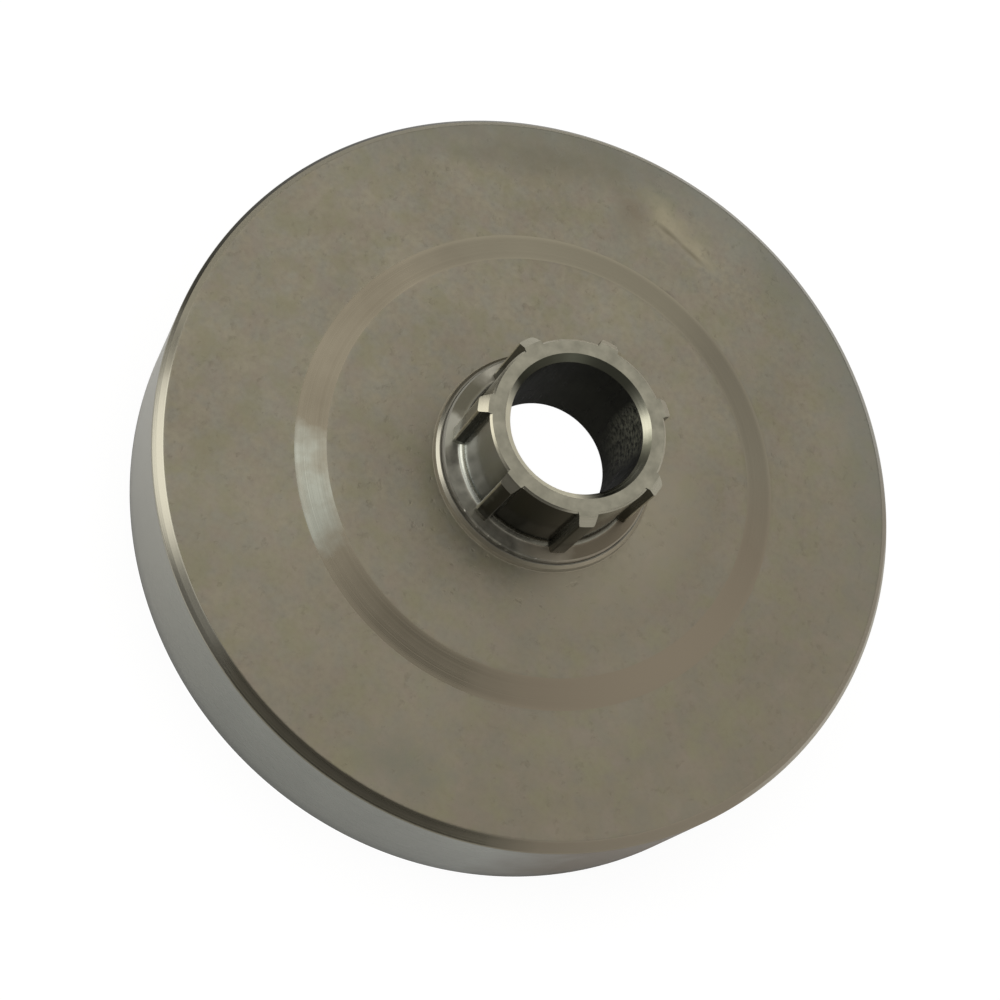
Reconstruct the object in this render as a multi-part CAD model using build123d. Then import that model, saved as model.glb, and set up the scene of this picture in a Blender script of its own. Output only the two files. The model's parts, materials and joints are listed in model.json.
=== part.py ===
from build123d import *
import math
import os

# Clutch drum of a chainsaw: a pressed steel cup with a splined hub held in its closed end.
# The open rim stands on z = 0, the axis is Z and the hub's nose points up. Millimetres.

# Pressed cup
drum_diameter = 75.0
skirt_height = 14.4  # open rim to the flat of the closed end
sheet = 2.0  # wall of the skirt and of the closed end
corner_chamfer = 1.0  # cone turned between the skirt and the closed end
inner_corner_radius = 1.5
rim_chamfer = 0.3

# Step pressed up round the middle of the closed end
step_inner_diameter = 42.6
step_width = 2.9
step_rise = 0.9

# Lip of the cup rolled up round the hub's flange
lip_height = 0.9
lip_thickness = 0.3
lip_chamfer = 0.12
lip_foot = 0.45  # cone where the lip rises from the closed end
seat_gap = 0.1  # between the lip and the flange

# Turned hub: its flange sits on the closed end, its spigot fills the hole in it
bore_diameter = 13.0
root_wall = 2.1  # bore to the floor of the grooves
flange_thickness = 1.55
flange_overhang = 0.85  # past the crests of the splines
flange_chamfer = 0.15
spigot_wall = 2.5
spigot_gap = 0.02  # braze gap between the spigot and the hole
nose_bore_chamfer = 0.65
end_bore_chamfer = 0.8

# Splines that carry the sprocket
spline_count = 7
spline_height = 1.0
spline_width = 1.9  # at the floor of the grooves
spline_length = 8.95  # flange to nose
flank_angle = 11.0  # lean of each flank, in degrees
spline_corner = 0.2  # broken edges along the crests
spline_chamfer = 0.8  # cone turned across the leading ends
floor_edge = 0.2  # broken edge where a groove runs out at the nose
run_out_radius = 0.6  # hollow where a groove meets the flange
cut_margin = 0.5  # how far a cutter reaches past what it cuts

# Radii and heights that follow from these
drum_radius = drum_diameter / 2
inner_radius = drum_radius - sheet
bore_radius = bore_diameter / 2
root_radius = bore_radius + root_wall
crest_radius = root_radius + spline_height
flange_radius = crest_radius + flange_overhang
spigot_radius = bore_radius + spigot_wall
step_inner_radius = step_inner_diameter / 2
step_outer_radius = step_inner_radius + step_width
seat_z = skirt_height + step_rise
face_z = seat_z + flange_thickness
nose_z = face_z + spline_length
end_z = seat_z - sheet


def outline(points, rounds):
    """A flat section in radius and height, with the named corners rounded."""
    section = make_face(Polyline(*points, close=True))
    for corner, radius in rounds:
        section = fillet(section.vertices().sort_by_distance((*corner, 0))[0], radius)
    return section


def turned(section):
    """The section spun once round the axis."""
    return revolve(Plane.XZ * section, axis=Axis.Z)


def make_drum_cup():
    """Cup drawn from one sheet: skirt, closed end with its step, and the lip round the hub's seat."""
    hole_radius = spigot_radius + spigot_gap
    lip_inner_radius = flange_radius + seat_gap
    lip_outer_radius = lip_inner_radius + lip_thickness
    lip_z = seat_z + lip_height
    # The inside of the step runs parallel to the outside, one sheet below it.
    step_shift = sheet * math.tan(math.atan2(step_rise, step_width) / 2)
    inside_corner = (inner_radius, skirt_height - sheet)
    points = [
        (drum_radius - rim_chamfer, 0),
        (drum_radius, rim_chamfer),
        (drum_radius, skirt_height - corner_chamfer),
        (drum_radius - corner_chamfer, skirt_height),
        (step_outer_radius, skirt_height),
        (step_inner_radius, seat_z),
        (lip_outer_radius + lip_foot, seat_z),
        (lip_outer_radius, seat_z + lip_foot),
        (lip_outer_radius, lip_z - lip_chamfer),
        (lip_outer_radius - lip_chamfer, lip_z),
        (lip_inner_radius, lip_z),
        (lip_inner_radius, seat_z),
        (hole_radius, seat_z),
        (hole_radius, seat_z - sheet),
        (step_inner_radius - step_shift, seat_z - sheet),
        (step_outer_radius - step_shift, skirt_height - sheet),
        inside_corner,
        (inner_radius, rim_chamfer),
        (inner_radius + rim_chamfer, 0),
    ]
    return turned(outline(points, [(inside_corner, inner_corner_radius)]))


def make_hub_blank():
    """The hub as it leaves the lathe, with a full ring where the splines will stand."""
    points = [
        (bore_radius + end_bore_chamfer, end_z),
        (spigot_radius, end_z),
        (spigot_radius, seat_z),
        (flange_radius, seat_z),
        (flange_radius, face_z - flange_chamfer),
        (flange_radius - flange_chamfer, face_z),
        (crest_radius, face_z),
        (crest_radius, nose_z - spline_chamfer),
        (crest_radius - spline_chamfer, nose_z),
        (bore_radius + nose_bore_chamfer, nose_z),
        (bore_radius, nose_z - nose_bore_chamfer),
        (bore_radius, end_z + end_bore_chamfer),
    ]
    return turned(outline(points, []))


def make_groove_cutter():
    """All the grooves at once: a ring down to the flange, less a tapered bar for each spline."""
    outside = crest_radius + cut_margin
    top = nose_z + cut_margin
    groove_floor = (root_radius, face_z)
    ring_points = [
        groove_floor,
        (outside, face_z),
        (outside, top),
        (root_radius - floor_edge - cut_margin, top),
        (root_radius, nose_z - floor_edge),
    ]
    ring = turned(outline(ring_points, [(groove_floor, run_out_radius)]))

    lean = math.tan(math.radians(flank_angle))
    foot = root_radius - floor_edge - cut_margin
    foot_half = spline_width / 2 + (root_radius - foot) * lean
    slope_start = crest_radius - spline_corner
    slope_half = spline_width / 2 - (slope_start - root_radius) * lean
    slope_end = slope_start + slope_half
    bar_points = [
        (foot, -foot_half),
        (slope_start, -slope_half),
        (slope_end, 0),
        (slope_start, slope_half),
        (foot, foot_half),
    ]
    bar_section = make_face(Polyline(*bar_points, close=True))
    bar = Pos(0, 0, end_z) * extrude(bar_section, amount=top - end_z + cut_margin, dir=(0, 0, 1))
    for number in range(spline_count):
        ring -= Rot(0, 0, number * 360 / spline_count) * bar
    return ring


def make_splined_hub():
    """Hub with a flange, a spigot, a bearing bore and splines with chamfered leading ends."""
    return make_hub_blank() - make_groove_cutter()


os.makedirs("parts", exist_ok=True)
export_step(make_drum_cup(), "parts/drum_cup.step")
export_step(make_splined_hub(), "parts/splined_hub.step")
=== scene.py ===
import json
import math
import bpy
import numpy as np
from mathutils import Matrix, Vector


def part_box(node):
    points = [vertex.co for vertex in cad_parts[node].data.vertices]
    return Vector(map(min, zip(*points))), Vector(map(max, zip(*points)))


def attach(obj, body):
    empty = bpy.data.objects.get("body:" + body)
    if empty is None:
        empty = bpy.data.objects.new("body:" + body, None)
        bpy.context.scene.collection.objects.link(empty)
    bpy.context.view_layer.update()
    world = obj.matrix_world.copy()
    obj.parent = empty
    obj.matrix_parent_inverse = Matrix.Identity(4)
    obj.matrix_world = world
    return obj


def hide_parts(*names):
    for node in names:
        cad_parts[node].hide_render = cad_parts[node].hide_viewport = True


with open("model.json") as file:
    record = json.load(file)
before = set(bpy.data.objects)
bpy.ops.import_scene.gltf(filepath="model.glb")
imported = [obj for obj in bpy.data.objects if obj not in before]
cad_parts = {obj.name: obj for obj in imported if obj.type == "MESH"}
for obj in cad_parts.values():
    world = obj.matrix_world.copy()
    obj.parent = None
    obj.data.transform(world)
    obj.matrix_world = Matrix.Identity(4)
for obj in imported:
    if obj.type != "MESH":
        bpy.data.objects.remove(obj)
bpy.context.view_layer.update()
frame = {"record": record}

# The cup: a disc of steel sheet, deep drawn, with the skirt, the corner and the step skimmed on a lathe.
# The closed end keeps the dull brown skin that tumbling leaves on the sheet, and a thin lip is rolled up
# round the middle hole to hold the hub.
mm = 0.001
cup_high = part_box("drum_cup")[1]
hub_low, hub_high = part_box("splined_hub")
drum_radius = cup_high[0]
sheet = 2.0 * mm
skirt_inside = drum_radius - sheet
inside_round = 1.5 * mm
rim_chamfer = 0.3 * mm
broken_edge = 0.05 * mm

lip_top = cup_high[2]
lip_height = 0.9 * mm
seat_top = lip_top - lip_height
step_rise = 0.9 * mm
plate_top = seat_top - step_rise
step_inner = 21.3 * mm
step_width = 2.9 * mm
step_outer = step_inner + step_width
step_round = 2.4 * mm
step_lean = sheet * math.tan(math.atan2(step_rise, step_width) / 2)

corner_chamfer = 1.0 * mm
corner_round = 0.35 * mm
brow_foot = 0.4 * corner_chamfer  # how far up the corner its upper facet starts
corner_swell = 0.03 * mm

flange_radius = hub_high[0]
seam_gap = 0.02 * mm
lip_inside = flange_radius + seam_gap
lip_thickness = 0.48 * mm
lip_outside = lip_inside + lip_thickness
lip_bevel = 0.3 * mm
lip_edge_round = 0.06 * mm
lip_mouth_round = 0.04 * mm
lip_foot = 0.1 * mm
lip_foot_round = 0.08 * mm
bore_radius = frame["record"]["mounts"][0]["dims"]["r_mm"] * mm
spigot_wall = 2.5 * mm
spigot_radius = bore_radius + spigot_wall
hub_hole = spigot_radius + seam_gap
hole_round = 0.1 * mm
seat_round = 0.02 * mm
cup_segments = 360


def unit(vector):
    """The vector at length 1."""
    return vector / np.linalg.norm(vector)


def rounded_section(corners, steps=5, guard=0.05 * mm):
    """Points round a closed section, with every corner rounded and a guard point each side of it."""
    points = []
    finishes = []
    for number, (radius, height, rounding, finish) in enumerate(corners):
        here = np.array([radius, height])
        came = unit(here - np.array(corners[number - 1][:2]))
        goes = unit(np.array(corners[(number + 1) % len(corners)][:2]) - here)
        turn = math.atan2(came[0] * goes[1] - came[1] * goes[0], came @ goes)
        cut = rounding * math.tan(abs(turn) / 2)
        side = math.copysign(1, turn)
        start = here - came * cut
        centre = start + side * rounding * np.array([-came[1], came[0]])
        arm = start - centre
        points.append(start - came * guard)
        for step in range(steps + 1):
            c, s = math.cos(turn * step / steps), math.sin(turn * step / steps)
            points.append(centre + np.array([c * arm[0] - s * arm[1], s * arm[0] + c * arm[1]]))
        points.append(here + goes * (cut + guard))
        # The finish changes in the middle of the rounding.
        before = corners[number - 1][3]
        half = steps // 2 + 1
        finishes += [before] * half + [finish] * (steps + 3 - half)
    return points, finishes


def ring_mesh(name, rings, finishes, materials):
    """A skin over closed rings of points, the last ring joined to the first."""
    count, around = rings.shape[:2]
    index = np.arange(count * around).reshape(count, around)
    above = np.roll(index, -1, axis=0)
    corners = [index, np.roll(index, -1, axis=1), np.roll(above, -1, axis=1), above]
    faces = np.stack(corners, axis=2).reshape(-1, 4)
    mesh = bpy.data.meshes.new(name)
    mesh.from_pydata(rings.reshape(-1, 3).tolist(), [], faces.tolist())
    order = list(materials)
    for finish in order:
        mesh.materials.append(materials[finish])
    slots = np.repeat([order.index(finish) for finish in finishes], around)
    mesh.polygons.foreach_set("material_index", slots.astype(np.int32))
    mesh.polygons.foreach_set("use_smooth", np.ones(len(faces), dtype=bool))
    mesh.update()
    piece = bpy.data.objects.new(name, mesh)
    bpy.context.collection.objects.link(piece)
    return piece


def turned_mesh(name, section, finishes, materials, segments):
    """A closed section spun round the axis, with the finish of each run of it."""
    section = np.round(section, 9)
    angles = np.arange(segments) * 2 * math.pi / segments
    ring = np.stack([np.cos(angles), np.sin(angles)], axis=1)
    flat = section[:, 0][:, None, None] * ring[None]
    heights = np.broadcast_to(section[:, 1][:, None, None], (len(section), segments, 1))
    return ring_mesh(name, np.concatenate([flat, heights], axis=2), finishes, materials)


def wire(tree, kind, *inputs, **settings):
    """One shader node: its inputs in order, as numbers or as sockets to join, and its settings."""
    made = tree.nodes.new(kind)
    for key, value in settings.items():
        setattr(made, key, value)
    for socket, value in zip(made.inputs, inputs):
        if isinstance(value, bpy.types.NodeSocket):
            tree.links.new(value, socket)
        elif value is not None:
            socket.default_value = value
    return made


noise_low, noise_high = 0.3, 0.7  # the range that noise mostly keeps to


def noise(tree, place, scale, detail=2.0, rough=0.5, dimensions="3D"):
    """Noise from 0 to 1 over a place, which is a vector or, for lines, one running length."""
    made = wire(tree, "ShaderNodeTexNoise", noise_dimensions=dimensions)
    tree.links.new(place, made.inputs["W" if dimensions == "1D" else "Vector"])
    made.inputs["Scale"].default_value = scale
    made.inputs["Detail"].default_value = detail
    made.inputs["Roughness"].default_value = rough
    return made.outputs[0]


def maths(tree, operation, *inputs):
    """One sum on numbers or sockets."""
    return wire(tree, "ShaderNodeMath", *inputs, operation=operation).outputs[0]


def spread(tree, value, low, high, to_low, to_high):
    """Carries a value from one range to another and holds it at the ends."""
    return wire(tree, "ShaderNodeMapRange", value, low, high, to_low, to_high).outputs[0]


def tint(tree, factor, first, second):
    """Goes from the first colour to the second."""
    made = wire(tree, "ShaderNodeMix", data_type="RGBA")
    sockets = (made.inputs[0], made.inputs[6], made.inputs[7])
    for socket, value in zip(sockets, (factor, first, second)):
        if isinstance(value, bpy.types.NodeSocket):
            tree.links.new(value, socket)
        else:
            socket.default_value = value
    return made.outputs[2]


def ink(red, green, blue):
    """A colour as it is seen on a screen, 0 to 255, in linear light."""
    seen = np.array([red, green, blue]) / 255
    linear = np.where(seen <= 0.04045, seen / 12.92, ((seen + 0.055) / 1.055) ** 2.4)
    return (*linear.tolist(), 1.0)


def bare_steel(name, metal=1.0):
    """A material with its shader, and the place on the piece that patterns are laid over."""
    material = bpy.data.materials.new(name)
    material.use_nodes = True
    tree = material.node_tree
    shader = tree.nodes["Principled BSDF"]
    shader.inputs["Metallic"].default_value = metal
    place = wire(tree, "ShaderNodeTexCoord").outputs["Object"]
    return material, tree, shader, place


def across(tree, place):
    """Distance from the axis."""
    flat = wire(tree, "ShaderNodeVectorMath", place, (1, 1, 0), operation="MULTIPLY").outputs[0]
    return wire(tree, "ShaderNodeVectorMath", flat, operation="LENGTH").outputs["Value"]


def facing(tree, place, azimuth, inner, outer, ragged=0.16):
    """1 within the inner angle either side of this azimuth, 0 past the outer angle, in degrees, unevenly."""
    flat = wire(tree, "ShaderNodeVectorMath", place, (1, 1, 0), operation="MULTIPLY").outputs[0]
    out = wire(tree, "ShaderNodeVectorMath", flat, operation="NORMALIZE").outputs[0]
    middle = (math.cos(math.radians(azimuth)), math.sin(math.radians(azimuth)), 0)
    lined_up = wire(tree, "ShaderNodeVectorMath", out, middle, operation="DOT_PRODUCT").outputs["Value"]
    uneven = noise(tree, place, 160, 4, 0.6)
    reach = maths(tree, "MULTIPLY_ADD", uneven, ragged, maths(tree, "SUBTRACT", lined_up, ragged / 2))
    return spread(tree, reach, math.cos(math.radians(outer)), math.cos(math.radians(inner)), 0, 1)


def finish_with(tree, shader, colour, roughness, height, depth):
    """Joins the colour, the roughness and a fine relief to the shader."""
    tree.links.new(colour, shader.inputs["Base Color"])
    tree.links.new(roughness, shader.inputs["Roughness"])
    relief = wire(tree, "ShaderNodeBump")
    relief.inputs["Strength"].default_value = 1.0
    relief.inputs["Distance"].default_value = depth
    tree.links.new(height, relief.inputs["Height"])
    tree.links.new(relief.outputs[0], shader.inputs["Normal"])


def mark(tree, place, x, y, half_length, half_width, turn, ragged=1.6, core=0.8, edge=1.9):
    """A mark on the closed end, sizes in millimetres: 1 in its middle, 0 past its ragged edge."""
    laid = wire(
        tree, "ShaderNodeMapping", place, (x * mm, y * mm, 0), (0, 0, math.radians(turn)),
        (half_length * mm, half_width * mm, 1), vector_type="TEXTURE",
    ).outputs[0]
    reach = maths(tree, "MULTIPLY_ADD", noise(tree, place, 500, 4, 0.65), ragged, across(tree, laid))
    return spread(tree, reach, edge, core, 0, 1)


# Marks of handling on the closed end, in millimetres: place, half length and half width. Then the turn in
# degrees, the colour and the strength.
handling = [
    (-18, 28, 12, 3.6, 33, ink(112, 108, 93), 0.7),
    (-7.5, 29.6, 2.6, 2.8, 30, ink(116, 107, 91), 0.6),
    (-3.2, 31.2, 5.2, 1.9, -14, ink(155, 148, 127), 0.75),
    (0.6, 30.3, 3.8, 0.9, -6, ink(155, 148, 127), 0.7),
    (-3.0, 30.1, 2.0, 0.36, -2, ink(106, 100, 84), 0.7),
    (-0.1, 29.8, 2.4, 0.34, -5, ink(106, 100, 84), 0.65),
    (5.4, -32.6, 5.4, 2.8, 10, ink(110, 112, 101), 0.5),
]

# Where the closed end changes tone: painted shade across the drum towards one side, and by distance from the
# axis: a greyer rim, painted shade round the foot of the hub and painted light beside it.
shaded_side = unit(np.array([0.85, -0.53, 0]))
side_shade_span = (-12 * mm, 28 * mm)
greyed_rim = (31 * mm, 36.5 * mm)
hub_shade_ring = (10.9 * mm, 14 * mm)
hub_light_ring = (11 * mm, 18 * mm)
dent_depth = 0.032 * mm


def tumbled_skin():
    """Dull brownish sheet: fine grain, blushes of other tones, painted shade and light, marks of handling.
    """
    material, tree, shader, place = bare_steel("tumbled_skin")
    grain = noise(tree, place, 1650, 4, 0.6)
    cloud = noise(tree, place, 90, 3, 0.55)
    mixed = maths(tree, "MULTIPLY_ADD", grain, 0.65, maths(tree, "MULTIPLY", cloud, 0.35))
    shade = spread(tree, mixed, 0.32, 0.68, 0, 1)
    warm = tint(tree, shade, ink(121, 115, 101), ink(148, 142, 125))
    cool = tint(tree, shade, ink(118, 114, 103), ink(145, 141, 127))
    base = tint(tree, spread(tree, noise(tree, place, 520, 2, 0.5), 0.42, 0.58, 0, 1), warm, cool)
    blush = spread(tree, noise(tree, place, 62, 2, 0.5), 0.56, 0.75, 0, 0.2)
    base = tint(tree, blush, base, ink(119, 119, 107))
    # Painted shade: darker across the drum towards one side.
    sideways = wire(tree, "ShaderNodeVectorMath", place, shaded_side, operation="DOT_PRODUCT")
    side_shade = spread(tree, sideways.outputs["Value"], *side_shade_span, 0, 0.5)
    base = tint(tree, side_shade, base, ink(118, 111, 97))
    rosy = spread(tree, noise(tree, place, 420, 4, 0.55), 0.45, 0.65, 0, 0.5)
    base = tint(tree, rosy, base, tint(tree, shade, ink(125, 115, 103), ink(141, 132, 120)))
    olive = spread(tree, noise(tree, place, 330, 4, 0.55), 0.48, 0.66, 0, 0.6)
    base = tint(tree, olive, base, tint(tree, shade, ink(120, 116, 94), ink(136, 133, 110)))
    dents = spread(tree, noise(tree, place, 1000, 3, 0.6), 0.61, 0.72, 0, 1)
    base = tint(tree, maths(tree, "MULTIPLY", dents, 0.25), base, ink(108, 101, 86))
    radius = across(tree, place)
    by_rim = spread(tree, radius, *greyed_rim, 0, 0.45)
    greyed = maths(tree, "MULTIPLY", by_rim, facing(tree, place, 85, 35, 80))
    base = tint(tree, greyed, base, ink(112, 117, 113))
    # Painted shade round the foot of the hub, on one side.
    shade_by_lip = spread(tree, radius, *hub_shade_ring, 0.3, 0)
    hub_shade = maths(tree, "MULTIPLY", shade_by_lip, facing(tree, place, -110, 30, 75))
    base = tint(tree, hub_shade, base, ink(78, 80, 66))
    # Painted light beside the hub, on one side.
    light_by_hub = spread(tree, radius, *hub_light_ring, 0.6, 0)
    hub_light = maths(tree, "MULTIPLY", light_by_hub, facing(tree, place, -12, 34, 62))
    base = tint(tree, hub_light, base, ink(154, 147, 130))
    for *shape, colour, strength in handling:
        there = maths(tree, "MULTIPLY", mark(tree, place, *shape), strength)
        base = tint(tree, there, base, colour)
    roughness = spread(tree, grain, noise_low, noise_high, 0.5, 0.62)
    relief = maths(tree, "MULTIPLY_ADD", dents, -0.75, maths(tree, "MULTIPLY", grain, 0.25))
    finish_with(tree, shader, base, roughness, relief, dent_depth)
    return material


def turned_skin(
    name, dark, light, smooth, rough, along_axis=False, pitch=0.16 * mm, depth=0.004 * mm,
    painted_light_patches=(), mottle=120, lined=0.4, shaded_foot=None, metal=1.0,
):
    """Lathe work: fine lines that run round the part, a little uneven, with patches of painted light or
    shade, and painted shade towards one end.
    """
    material, tree, shader, place = bare_steel(name, metal)
    if along_axis:
        run = wire(tree, "ShaderNodeSeparateXYZ", place).outputs[2]
    else:
        run = across(tree, place)
    lines = noise(tree, run, 1 / pitch, 3, 0.6, "1D")
    cloud = noise(tree, place, mottle, 3, 0.55)
    mixed = maths(tree, "MULTIPLY_ADD", lines, lined, maths(tree, "MULTIPLY", cloud, 1 - lined))
    base = tint(tree, spread(tree, mixed, noise_low, noise_high, 0, 1), dark, light)
    roughness = spread(tree, lines, noise_low, noise_high, smooth, rough)
    # Patches of painted light or shade on one side, each with its own roughness.
    for azimuth, inner, outer, colour, patch_roughness in painted_light_patches:
        there = facing(tree, place, azimuth, inner, outer)
        base = tint(tree, there, base, colour)
        change = maths(tree, "SUBTRACT", patch_roughness, roughness)
        roughness = maths(tree, "MULTIPLY_ADD", there, change, roughness)
    # Painted shade: darker towards the low end.
    if shaded_foot:
        reach, colour = shaded_foot
        base = tint(tree, spread(tree, run, reach / 4, reach, 0.65, 0), base, colour)
    finish_with(tree, shader, base, roughness, lines, depth)
    return material


# Patches of painted light or shade on a finish: azimuth, half angles where the patch is full and where it
# ends, colour and roughness.
# Painted highlight on the corner's lit side.
corner_highlight = (-136, 18, 31, ink(153, 150, 138), 0.2)
# Painted reflection: the plate's brown on the corner's far side.
corner_brown_reflection = (-12, 44, 54, ink(136, 128, 113), 0.5)
cup_finishes = {
    "plate": tumbled_skin(),
    # Step: painted light round much of it, blending it into the plate, and a painted highlight on the lit
    # side.
    "step": turned_skin(
        "turned_step", ink(108, 101, 87), ink(127, 120, 105), 0.22, 0.3, pitch=0.4 * mm, depth=0.012 * mm,
        painted_light_patches=[
            (72, 55, 88, ink(138, 132, 116), 0.55),
            (106, 16, 40, ink(146, 140, 123), 0.55),
            (46, 20, 38, ink(133, 127, 112), 0.5),
            (-20, 36, 58, ink(127, 118, 103), 0.5),
            (-135, 4, 17, ink(140, 141, 131), 0.16),
        ],
    ),
    # Corner: a painted dark reflection, a painted highlight, a painted brown reflection and a painted light
    # edge.
    "chamfer": turned_skin(
        "turned_corner", ink(104, 100, 87), ink(126, 121, 107), 0.25, 0.35,
        painted_light_patches=[
            (160, 30, 44, ink(52, 50, 42), 0.2),
            corner_highlight,
            corner_brown_reflection,
            (0, 14, 28, ink(166, 161, 149), 0.4),
        ],
    ),
    # Brow: painted light on one side, and the corner's painted highlight and reflection.
    "brow": turned_skin(
        "turned_brow", ink(104, 100, 87), ink(126, 121, 107), 0.25, 0.35,
        painted_light_patches=[(150, 45, 52, ink(142, 137, 121), 0.5), corner_highlight, corner_brown_reflection],
    ),
    # Skirt: painted light on the lit side, painted shade on the far side and towards the foot.
    "skirt": turned_skin(
        "turned_skirt", ink(102, 104, 96), ink(119, 121, 113), 0.25, 0.34, along_axis=True,
        painted_light_patches=[(-155, 10, 50, ink(131, 130, 119), 0.28), (-15, 34, 48, ink(106, 98, 86), 0.5)],
        shaded_foot=(2.4 * mm, ink(78, 80, 74)),
    ),
    "foot": turned_skin(
        "rolled_foot", ink(124, 117, 101), ink(144, 137, 120), 0.5, 0.6, along_axis=True,
        mottle=600, lined=0.2, metal=0.0,
    ),
    # Lip bevel: painted light on two sides and a painted highlight on the lit side.
    "bevel": turned_skin(
        "rolled_bevel", ink(98, 94, 82), ink(122, 117, 103), 0.3, 0.4,
        painted_light_patches=[
            (-85, 35, 50, ink(138, 132, 116), 0.45),
            (-141, 8, 34, ink(152, 149, 138), 0.22),
            (-10, 26, 44, ink(162, 154, 137), 0.5),
        ],
    ),
    "lip": turned_skin(
        "rolled_lip", ink(98, 96, 88), ink(126, 123, 113), 0.45, 0.55, mottle=600, lined=0.2
    ),
    "drawn": turned_skin(
        "drawn_inside", ink(112, 106, 93), ink(136, 129, 114), 0.45, 0.55, mottle=300, lined=0.15
    ),
    "inside": turned_skin(
        "friction_face", ink(120, 121, 116), ink(150, 151, 146), 0.25, 0.35, along_axis=True
    ),
}

# The section of the cup: radius, height, rounding of the corner and finish of the run that follows it.
brow_radius = drum_radius - brow_foot
brow_height = plate_top - corner_chamfer + brow_foot + corner_swell
cup_corners = [
    (drum_radius - rim_chamfer, 0, broken_edge, "skirt"),
    (drum_radius, rim_chamfer, broken_edge, "skirt"),
    (drum_radius, plate_top - corner_chamfer, corner_round, "chamfer"),
    (brow_radius, brow_height, corner_round, "brow"),
    (drum_radius - corner_chamfer, plate_top, corner_round, "plate"),
    (step_outer, plate_top, step_round, "step"),
    (step_inner, seat_top, step_round, "plate"),
    (lip_outside + lip_foot, seat_top, lip_foot_round, "foot"),
    (lip_outside, lip_top - lip_bevel, lip_edge_round, "bevel"),
    (lip_outside - lip_bevel, lip_top, lip_edge_round, "lip"),
    (lip_inside, lip_top, lip_mouth_round, "lip"),
    (lip_inside, seat_top, seat_round, "drawn"),
    (hub_hole, seat_top, seat_round, "drawn"),
    (hub_hole, seat_top - sheet, hole_round, "drawn"),
    (step_inner - step_lean, seat_top - sheet, step_round, "drawn"),
    (step_outer - step_lean, plate_top - sheet, step_round, "drawn"),
    (skirt_inside, plate_top - sheet, inside_round, "inside"),
    (skirt_inside, rim_chamfer, broken_edge, "skirt"),
    (skirt_inside + rim_chamfer, 0, broken_edge, "skirt"),
]
cup = turned_mesh("pressed_cup", *rounded_section(cup_corners), cup_finishes, cup_segments)
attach(cup, "root")
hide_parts("drum_cup")

# The hub: turned from bar, with seven straight splines hobbed down to a flange and a cone turned across
# their ends. Its spigot fills the hole of the cup, its flange sits inside the lip, and a needle bearing
# runs in its bore.
nose_top = hub_high[2]
hub_end = hub_low[2]
root_wall = 2.1 * mm
root_radius = bore_radius + root_wall
spline_count = 7
spline_height = 1.0 * mm
crest_radius = root_radius + spline_height
spline_foot_half = 0.95 * mm
flank_angle = math.radians(11)
flank_lean = math.tan(flank_angle)
crest_round = 0.2 * mm
spline_chamfer = 0.8 * mm
cone_foot = nose_top - spline_chamfer
floor_edge = 0.2 * mm
run_out = 0.6 * mm
flange_thickness = 1.55 * mm
flange_face = seat_top + flange_thickness
flange_chamfer = 0.15 * mm
nose_bore_chamfer = 0.65 * mm
end_bore_chamfer = 0.8 * mm

# How many points or rings each stretch of the mesh has.
flank_points = 16
edge_points = 5
crest_points = 7
groove_points = 22
run_out_steps = 10
shank_rings = 10
cone_rings = 16
nose_rings = 7
groove_guard = 0.005  # radians


def stations(low, high, count, guard=0.04 * mm):
    """Stations from low to high, evenly spaced but for one close to each end."""
    guard = math.copysign(guard, high - low)
    return [low, low + guard, *np.linspace(low, high, count - 2)[1:-1].tolist(), high - guard, high]


def half_width(out):
    """Half the width of a spline at this distance out from the axis, before its edges are rounded."""
    return spline_foot_half - (out - root_radius) * flank_lean


def spline_side():
    """One side of a spline, from the groove floor to near the middle of its crest: out (x) and aside (y)."""
    # Four rounds settle where the flank meets the round floor of the groove.
    aside = spline_foot_half
    for _ in range(4):
        out = math.sqrt(root_radius**2 - aside**2)
        aside = half_width(out)
    flank = [(x, half_width(x)) for x in stations(out, crest_radius - crest_round, flank_points)]
    start = np.array(flank[-1])
    corner = np.array([crest_radius, half_width(crest_radius)])
    end = corner - np.array([0, crest_round])
    edge = []
    for step in np.linspace(0, 1, edge_points + 1)[1:]:
        edge.append(tuple((1 - step) ** 2 * start + 2 * step * (1 - step) * corner + step**2 * end))
    crest = [(crest_radius, y) for y in stations(end[1], 0, crest_points)[1:-2]]
    return flank + edge + crest


def hub_ring(height):
    """The splined outline at one height, inside the nose cone and outside the groove floors."""
    cone = crest_radius - spline_chamfer + (nose_top - height)
    rise = min(max(height - flange_face, 0), run_out)
    floor = root_radius + run_out - math.sqrt(run_out**2 - (run_out - rise) ** 2)
    floor = min(floor, root_radius - floor_edge + (nose_top - height))
    side = spline_side()
    spline = [(x, -y) for x, y in side] + [(crest_radius, 0)] + [(x, y) for x, y in reversed(side)]
    foot_angle = math.atan2(side[0][1], side[0][0])
    pitch = 2 * math.pi / spline_count
    groove = stations(foot_angle, pitch - foot_angle, groove_points + 2, groove_guard)[1:-1]
    ring = []
    for number in range(spline_count):
        middle = pitch * number
        for x, y in spline:
            x = min(x, math.sqrt(min(crest_radius, cone) ** 2 - y**2))
            x = max(x, math.sqrt(floor**2 - y**2))
            radius, angle = math.hypot(x, y), middle + math.atan2(y, x)
            ring.append((radius * math.cos(angle), radius * math.sin(angle), height))
        for angle in groove:
            ring.append((floor * math.cos(middle + angle), floor * math.sin(middle + angle), height))
    return np.array(ring)


def round_ring(pattern, radius, height):
    """A circle with its points at the same angles as the splined outline's."""
    angles = np.arctan2(pattern[:, 1], pattern[:, 0])
    heights = np.full(len(angles), height)
    return np.stack([radius * np.cos(angles), radius * np.sin(angles), heights], axis=1)


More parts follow.
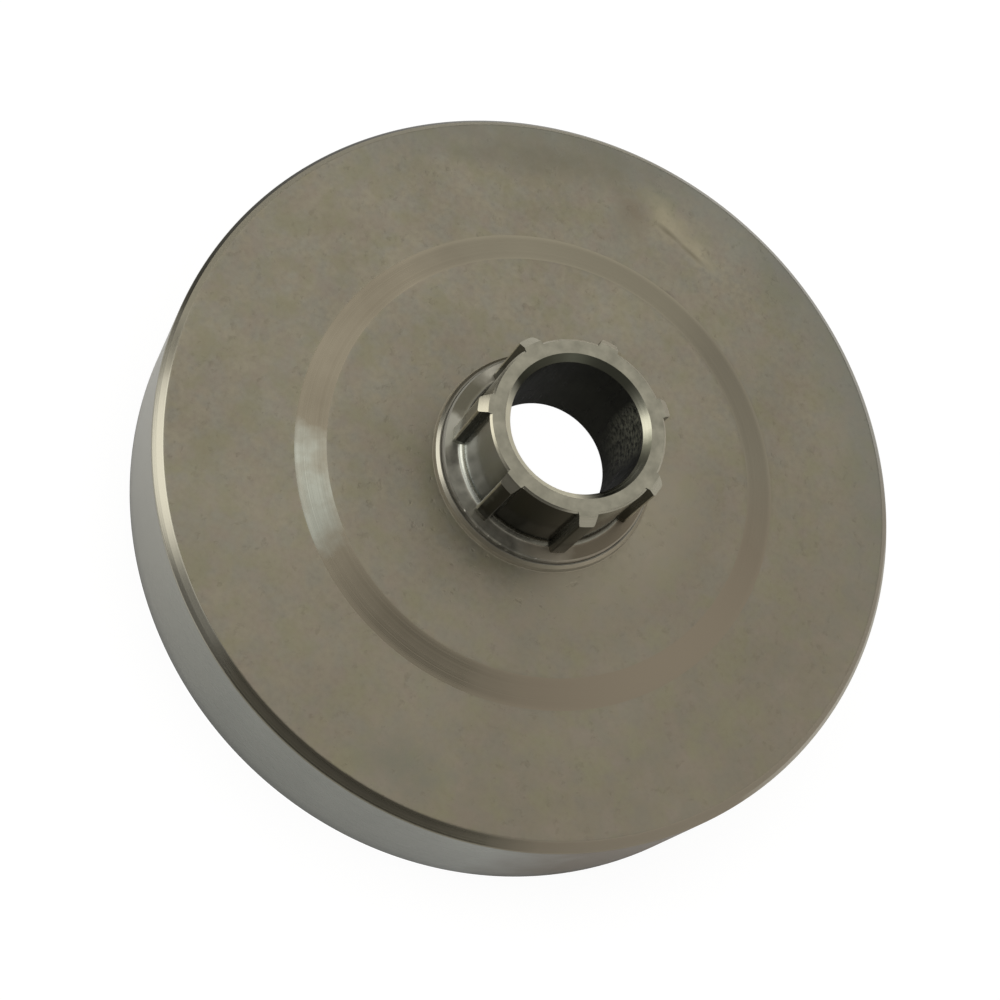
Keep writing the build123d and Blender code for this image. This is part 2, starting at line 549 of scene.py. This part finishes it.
def oiled_steel(name, dark, light, smooth, rough, depth=0.004 * mm, painted_shading=(), highlight_flecks=None):
    """Machined steel under oil: streaks along the axis, soft clouds, painted light or shade on one side,
    painted flecks of highlight.
    """
    material, tree, shader, place = bare_steel(name)
    lengthwise = (1, 1, 0.12)
    drawn = wire(tree, "ShaderNodeVectorMath", place, lengthwise, operation="MULTIPLY").outputs[0]
    streak = noise(tree, drawn, 2400, 3, 0.6)
    cloud = noise(tree, place, 260, 3, 0.55)
    mixed = maths(tree, "MULTIPLY_ADD", streak, 0.5, maths(tree, "MULTIPLY", cloud, 0.5))
    base = tint(tree, spread(tree, mixed, noise_low, noise_high, 0, 1), dark, light)
    # Painted light or shade on one side.
    for *side, colour in painted_shading:
        base = tint(tree, facing(tree, place, *side), base, colour)
    # Painted highlight: bright flecks on one side, fading in with height.
    if highlight_flecks:
        *side, colour, start, end = highlight_flecks
        up = spread(tree, wire(tree, "ShaderNodeSeparateXYZ", place).outputs[2], start, end, 0, 1)
        fleck_zone = maths(tree, "MULTIPLY", up, facing(tree, place, *side))
        flecks = spread(tree, noise(tree, place, 2300, 3, 0.6), 0.38, 0.64, 0, 1)
        base = tint(tree, maths(tree, "MULTIPLY", fleck_zone, flecks), base, colour)
    roughness = spread(tree, streak, noise_low, noise_high, smooth, rough)
    finish_with(tree, shader, base, roughness, streak, depth)
    return material


def sooty_seam():
    """The side of the flange, dull with soot inside the lip but for a few bright specks of braze."""
    material, tree, shader, place = bare_steel("sooty_seam", metal=0.0)
    cloud = noise(tree, place, 700, 3, 0.6)
    base = tint(tree, spread(tree, cloud, 0.35, 0.65, 0, 1), ink(72, 70, 62), ink(112, 109, 98))
    specks = spread(tree, noise(tree, place, 1900, 2, 0.5), 0.68, 0.74, 0, 1)
    base = tint(tree, specks, base, ink(206, 203, 190))
    # Painted light: lighter on two sides.
    base = tint(tree, facing(tree, place, -165, 20, 45), base, ink(132, 130, 121))
    base = tint(tree, facing(tree, place, -22, 26, 44), base, ink(142, 134, 118))
    roughness = spread(tree, cloud, noise_low, noise_high, 0.5, 0.65)
    crust_depth = 0.03 * mm
    finish_with(tree, shader, base, roughness, cloud, crust_depth)
    return material


# Painted light or shade: azimuth, the same two half angles and the colour. Painted flecks of highlight:
# these, and the heights where they start and where they are full.
hub_finishes = {
    # Splines: painted shade on the dark side and a painted reflection in a lit groove.
    "splines": oiled_steel(
        "splined_steel", ink(140, 142, 136), ink(164, 166, 160), 0.14, 0.22,
        painted_shading=[(-77, 30, 42, ink(66, 66, 58)), (-128, 12, 24, ink(184, 188, 190))],
    ),
    # Flanks: a darker copy of the spline steel, as painted shade.
    "flank": oiled_steel("shaded_flank", ink(70, 71, 64), ink(104, 105, 97), 0.2, 0.3),
    # Edges: a brighter copy of the spline steel, as painted highlight, with painted shade on the dark side.
    "edge": oiled_steel(
        "edge_highlight", ink(204, 202, 190), ink(222, 220, 208), 0.2, 0.3,
        painted_shading=[(-70, 22, 34, ink(80, 79, 70))],
    ),
    # Cone: painted light on one side.
    "cone": turned_skin(
        "turned_cone", ink(138, 135, 120), ink(166, 162, 147), 0.16, 0.24,
        painted_light_patches=[(78, 50, 74, ink(178, 172, 156), 0.5)],
    ),
    "face": turned_skin(
        "turned_nose", ink(116, 114, 102), ink(145, 142, 128), 0.35, 0.45, mottle=700, lined=0.15
    ),
    # Mouth: painted shade on three sides and painted light on one.
    "mouth": turned_skin(
        "turned_mouth", ink(126, 125, 112), ink(168, 167, 152), 0.18, 0.28,
        painted_light_patches=[
            (121, 44, 73, ink(86, 87, 76), 0.35),
            (160, 16, 30, ink(70, 70, 60), 0.35),
            (19, 9, 20, ink(100, 100, 88), 0.3),
            (-108, 48, 72, ink(232, 228, 210), 0.75),
        ],
    ),
    "seam": sooty_seam(),
    # Flange: painted shade on two sides, painted light and a painted highlight.
    "flange": turned_skin(
        "turned_flange", ink(108, 105, 96), ink(148, 145, 134), 0.3, 0.42,
        painted_light_patches=[
            (-15, 30, 60, ink(112, 104, 90), 0.5),
            (180, 8, 20, ink(96, 93, 81), 0.4),
            (-57, 7, 19, ink(142, 135, 121), 0.5),
            (-156, 2, 11, ink(150, 148, 138), 0.34),
        ],
        mottle=700, lined=0.1,
    ),
    # Fillet: a painted highlight on the lit side.
    "fillet": oiled_steel(
        "rolled_fillet", ink(84, 82, 74), ink(112, 110, 100), 0.22, 0.32, depth=0.002 * mm,
        painted_shading=[(-132, 20, 34, ink(172, 174, 166))],
    ),
    # Bore: painted shade on one side and painted flecks of highlight near the mouth.
    "bore": oiled_steel(
        "oiled_bore", ink(46, 47, 38), ink(74, 74, 63), 0.25, 0.4, depth=0.012 * mm,
        painted_shading=[(2, 12, 34, ink(40, 41, 33))],
        highlight_flecks=(41, 8, 26, ink(212, 212, 188), 15 * mm, 23 * mm),
    ),
}


def turned_rings(runs):
    """Round rings, each with the finish of the run that follows it."""
    pattern = hub_ring(cone_foot)
    return [(round_ring(pattern, radius, height), finish) for radius, height, finish in runs]


def splined_rings(heights, finish):
    """Splined rings that share one finish."""
    return [(hub_ring(height), finish) for height in heights]


# The skin of the hub goes from the far end of the bore out over the flange, up the splines and back inside.
run_out_heights = []
for step in range(run_out_steps + 1):
    swing = math.pi / 2 * step / run_out_steps
    run_out_heights.append(flange_face + run_out * (1 - math.cos(swing)))
shank_heights = stations(flange_face + run_out, cone_foot, shank_rings)[1:-1]
cone_heights = stations(cone_foot, nose_top - floor_edge, cone_rings)[:-1]
nose_heights = stations(nose_top - floor_edge, nose_top, nose_rings)
hub_skin = turned_rings([
    (bore_radius + end_bore_chamfer, hub_end, "flange"),
    (spigot_radius, hub_end, "flange"),
    (spigot_radius, seat_top, "flange"),
    (flange_radius, seat_top, "seam"),
    (flange_radius, flange_face - flange_chamfer, "seam"),
    (flange_radius - flange_chamfer, flange_face, "flange"),
])
hub_skin += splined_rings(run_out_heights[:2], "flange")
hub_skin += splined_rings(run_out_heights[2:], "fillet")
hub_skin += splined_rings(shank_heights + cone_heights + nose_heights[:-1], "splines")
hub_skin += splined_rings(nose_heights[-1:], "face")
hub_skin += turned_rings([
    (bore_radius + nose_bore_chamfer, nose_top, "mouth"),
    (bore_radius, nose_top - nose_bore_chamfer, "bore"),
    (bore_radius, hub_end + end_bore_chamfer, "flange"),
])
hub_points = np.array([ring for ring, finish in hub_skin])
hub = ring_mesh("turned_hub", hub_points, [finish for ring, finish in hub_skin], hub_finishes)
crease = math.radians(35)
hub.data.set_sharp_from_angle(angle=crease)

# The splines have painted highlights along their edges, flanks darker as painted shade and a turned cone at
# their ends. Three edges on the shaded side have no painted highlight.
unlit_first_edges = (6,)
unlit_last_edges = (5, 6)
flank_outward = 0.6
flank_upward = 0.3
cone_upward = 0.5
cone_margin = 0.1 * mm
nose_margin = 0.001 * mm
order = list(hub_finishes)
slots = np.zeros(len(hub.data.polygons), dtype=np.int32)
hub.data.polygons.foreach_get("material_index", slots)
slots = slots.reshape(len(hub_skin), -1)
spline_points = 2 * len(spline_side()) + 1
highlit = np.zeros(slots.shape[1], dtype=bool)
for number in range(spline_count):
    start = number * (spline_points + groove_points)
    first = start + flank_points - 1
    last = start + spline_points - flank_points
    if number not in unlit_first_edges:
        highlit[first:first + edge_points] = True
    if number not in unlit_last_edges:
        highlit[last - edge_points:last] = True
slots[(slots == order.index("splines")) & highlit[None]] = order.index("edge")
normals = np.zeros(3 * slots.size, dtype=np.float32)
hub.data.polygons.foreach_get("normal", normals)
normals = normals.reshape(*slots.shape, 3)
flat = hub_points[:, :, :2]
heights = hub_points[:, :, 2]
upward = normals[:, :, 2]
outward = (normals[:, :, :2] * flat).sum(axis=2) / np.linalg.norm(flat, axis=2)
on_flank = (outward < flank_outward) & (upward < flank_upward)
slots[(slots == order.index("splines")) & on_flank] = order.index("flank")
by_cone = (heights > cone_foot - cone_margin) & (heights < nose_top - nose_margin)
slots[by_cone & (upward > cone_upward) & (outward > 0)] = order.index("cone")
hub.data.polygons.foreach_set("material_index", slots.ravel())
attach(hub, "root")
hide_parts("splined_hub")

# The stage: a large table painted matt white. It glows to a clean white for the camera and only faintly for
# the metal, less still under the drum as painted shade, and takes a faint shadow.
table_half = 1.5
table_drop = 0.01 * mm
camera_glow, camera_glow_under = 0.92, 1.0
metal_glow, metal_glow_shaded_under = 0.15, 0.06
paint_to_room = (0.85, 0.85, 0.85, 1)
paint_to_camera = (0.12, 0.12, 0.12, 1)
table_corners = []
for x, y in [(-1, -1), (1, -1), (1, 1), (-1, 1)]:
    table_corners.append((x * table_half, y * table_half, -table_drop))
table_mesh = bpy.data.meshes.new("white_table")
table_mesh.from_pydata(table_corners, [], [(0, 1, 2, 3)])
table = bpy.data.objects.new("white_table", table_mesh)
bpy.context.collection.objects.link(table)
table_paint = bpy.data.materials.new("white_table")
table_paint.use_nodes = True
table_tree = table_paint.node_tree
table_tree.nodes.clear()
ray = wire(table_tree, "ShaderNodeLightPath").outputs
looked_at = maths(table_tree, "MAXIMUM", ray["Is Camera Ray"], ray["Is Transmission Ray"])
table_place = wire(table_tree, "ShaderNodeTexCoord").outputs["Object"]
under = maths(table_tree, "LESS_THAN", across(table_tree, table_place), drum_radius)
bright = spread(table_tree, under, 0, 1, camera_glow, camera_glow_under)
to_camera = maths(table_tree, "MULTIPLY", looked_at, bright)
# Painted shade: the glow seen in the metal is weaker under the drum.
faint = spread(table_tree, under, 0, 1, metal_glow, metal_glow_shaded_under)
to_metal = maths(table_tree, "MULTIPLY", ray["Is Glossy Ray"], faint)
glow = wire(table_tree, "ShaderNodeEmission", (1, 1, 1, 1), maths(table_tree, "ADD", to_camera, to_metal))
paint = tint(table_tree, looked_at, paint_to_room, paint_to_camera)
matt = wire(table_tree, "ShaderNodeBsdfDiffuse", paint)
both = wire(table_tree, "ShaderNodeAddShader", glow.outputs[0], matt.outputs[0])
wire(table_tree, "ShaderNodeOutputMaterial", both.outputs[0])
table_mesh.materials.append(table_paint)

# The light: a pale room. It is dim near the horizon and on the camera's side, where the photographer
# stands, with a window low on the left and a lamp high on the left.
horizon, full_height = math.sin(math.radians(5)), math.sin(math.radians(48))
horizon_level, room_level, least_level = 0.15, 1.12, 0.2
room_colour = (1.0, 0.985, 0.95, 1)
window_colour = (1.0, 0.98, 0.92, 1)
lamp_colour = (0.96, 1.0, 1.0, 1)


def towards(azimuth, elevation):
    """The direction of a light seen from the drum, in degrees round from +X and up from the table."""
    around, up = math.radians(azimuth), math.radians(elevation)
    return (math.cos(up) * math.cos(around), math.cos(up) * math.sin(around), math.sin(up))


def fade(tree, value, low, high, to_low, to_high):
    """Carries a value from one range to another, easing in and out."""
    kind = "ShaderNodeMapRange"
    return wire(tree, kind, value, low, high, to_low, to_high, interpolation_type="SMOOTHSTEP").outputs[0]


def lobe(tree, sky, axis, edge, core, gain):
    """A round patch of the room: full strength within the core angle, none past the edge angle."""
    lined_up = wire(tree, "ShaderNodeVectorMath", sky, axis, operation="DOT_PRODUCT").outputs["Value"]
    return fade(tree, lined_up, math.cos(math.radians(edge)), math.cos(math.radians(core)), 0.0, gain)


# Parts of the room: direction, angles of the edge and the core, and strength. A lamp has a colour as well.
room_lobes = [
    (towards(-85, 40), 40, 24, -0.75),
    (towards(-35, 74), 30, 8, -0.3),
    (towards(0, 10), 55, 30, 0.4),
    (towards(138, 50), 34, 8, 0.45),
]
lamps = [
    (towards(-163, 17), 26, 9, 2.1, window_colour),
    (towards(170, 68), 10, 2, 0.5, lamp_colour),
]
world = bpy.data.worlds.new("room")
world.use_nodes = True
bpy.context.scene.world = world
room_tree = world.node_tree
room_tree.nodes.clear()
sky = wire(room_tree, "ShaderNodeTexCoord").outputs["Generated"]
sky_height = wire(room_tree, "ShaderNodeSeparateXYZ", sky).outputs[2]
level = fade(room_tree, sky_height, horizon, full_height, horizon_level, room_level)
for shape in room_lobes:
    raised = maths(room_tree, "ADD", lobe(room_tree, sky, *shape), level)
    level = maths(room_tree, "MAXIMUM", raised, least_level)
camera_ray = wire(room_tree, "ShaderNodeLightPath").outputs["Is Camera Ray"]
level = wire(room_tree, "ShaderNodeMix", camera_ray, None, level, 1.0).outputs[0]
room = wire(room_tree, "ShaderNodeBackground", room_colour, level)
for *shape, colour in lamps:
    lamp = wire(room_tree, "ShaderNodeBackground", colour, lobe(room_tree, sky, *shape))
    room = wire(room_tree, "ShaderNodeAddShader", room.outputs[0], lamp.outputs[0])
wire(room_tree, "ShaderNodeOutputWorld", room.outputs[0])

# The camera stands where the photograph was taken from: above the front of the drum, tilted so that the
# hub leans to the right.
camera_place = (-13.81 * mm, -96.65 * mm, 206.12 * mm)
camera_turn = (18.969, -17.554, 33.397)
lens_length = 80.06
sensor_width = 36.0
nearest = 1 * mm
camera_data = bpy.data.cameras.new("camera")
camera_data.lens = lens_length
camera_data.sensor_width = sensor_width
camera_data.clip_start = nearest
camera = bpy.data.objects.new("camera", camera_data)
camera.location = camera_place
camera.rotation_euler = [math.radians(turn) for turn in camera_turn]
bpy.context.collection.objects.link(camera)
bpy.context.scene.camera = camera
bpy.context.scene.view_settings.view_transform = "Standard"
